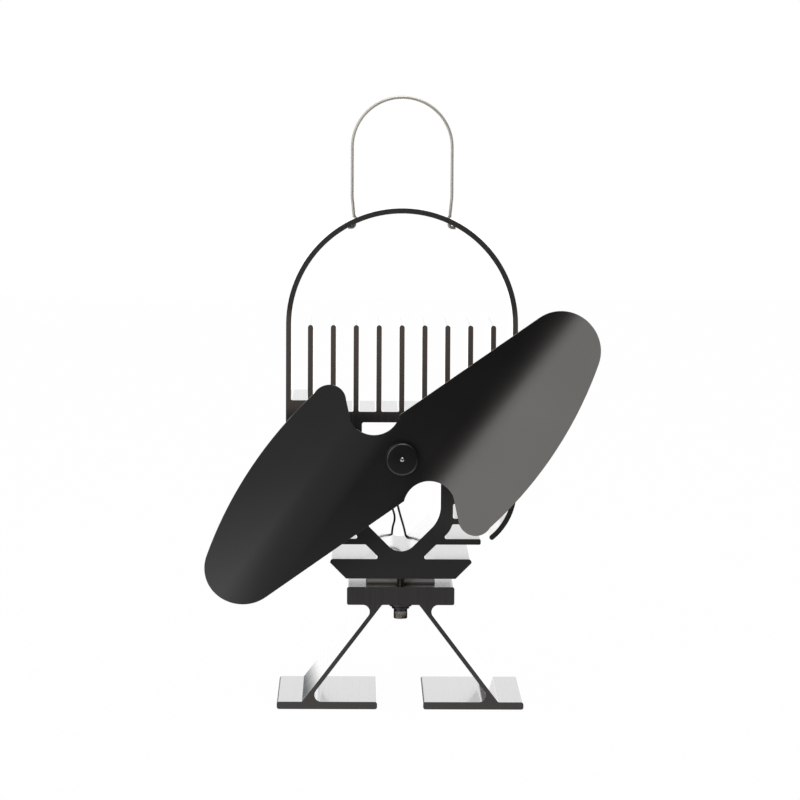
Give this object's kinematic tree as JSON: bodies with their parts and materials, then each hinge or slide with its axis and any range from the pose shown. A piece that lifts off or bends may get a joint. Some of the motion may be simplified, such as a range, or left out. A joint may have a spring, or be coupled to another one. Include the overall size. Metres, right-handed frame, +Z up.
{
  "type": "stove fan",
  "caption": "Free-standing heat-powered stove fan: splayed foot extrusion, arched finned heat sink, bent sheet blade on a small motor and a wire carrying handle.",
  "frame": {"origin": "on the surface the fan stands on, under the middle of its overall box", "axes": "+Z up, +X to the right seen from the blade's side, +Y away from the blade"},
  "size_m": [0.1966, 0.1103, 0.3106],
  "materials": {
    "black_anodised": "satin black anodised extrusion",
    "black_sheet": "satin black anodised sheet",
    "black_nylon": "moulded glass-filled nylon",
    "stainless_wire": "drawn bright stainless wire",
    "graphite_foil": "pressed graphite foil",
    "alumina": "fired alumina ceramic",
    "bismuth_telluride": "cut semiconductor",
    "silicone_seal": "cast grey silicone",
    "mica_board": "pressed mica board",
    "spring_steel": "blackened spring steel",
    "black_oxide_steel": "black oxide steel",
    "zinc_plated_steel": "zinc-plated steel",
    "sintered_bronze": "oil-filled sintered bronze",
    "motor_plastic": "moulded black nylon",
    "tinned_brass": "tinned brass",
    "ferrite": "pressed ferrite",
    "ground_steel": "ground steel",
    "electrical_steel": "stacked laminations",
    "enamelled_copper": "enamelled copper wire",
    "commutator_copper": "turned copper",
    "black_steel": "black painted steel strip",
    "lead_insulation": "black silicone insulation"
  },
  "bodies": {
    "stand": {"base_extrusion": "black_anodised", "upper_heat_sink": "black_anodised", "hot_foil": "graphite_foil", "module_hot_plate": "alumina", "module_pellets": "bismuth_telluride", "module_seal": "silicone_seal", "module_cold_plate": "alumina", "cold_foil": "graphite_foil", "insulating_washers": "mica_board", "spring_washers": "spring_steel", "flat_washers": "spring_steel", "lock_washers": "spring_steel", "clamp_bolts": "black_oxide_steel", "motor_can": "zinc_plated_steel", "front_bush": "sintered_bronze", "motor_cap": "motor_plastic", "rear_bush": "sintered_bronze", "motor_terminals": "tinned_brass", "motor_magnets": "ferrite", "motor_brushes": "tinned_brass", "motor_strap": "black_steel", "motor_screws": "zinc_plated_steel", "strap_screws": "black_oxide_steel", "lead_left": "lead_insulation", "lead_right": "lead_insulation"},
    "rotor": {"fan_blade": "black_sheet", "blade_hub": "black_nylon", "blade_clamp_ring": "black_nylon", "motor_shaft": "ground_steel", "armature_core": "electrical_steel", "armature_coils": "enamelled_copper", "commutator": "commutator_copper"},
    "handle": {"handle_wire": "stainless_wire"}
  },
  "joints": [
    {"name": "fan_spin", "type": "hinge", "parent": "stand", "child": "rotor", "pos_m": [0, -0.04085, 0.131], "axis": [0, 1, 0], "continuous": true},
    {"name": "handle_tilt", "type": "hinge", "parent": "stand", "child": "handle", "pos_m": [0, 0.00765, 0.2479], "axis": [1, 0, 0], "range_deg": [-9, 9]}
  ]
}
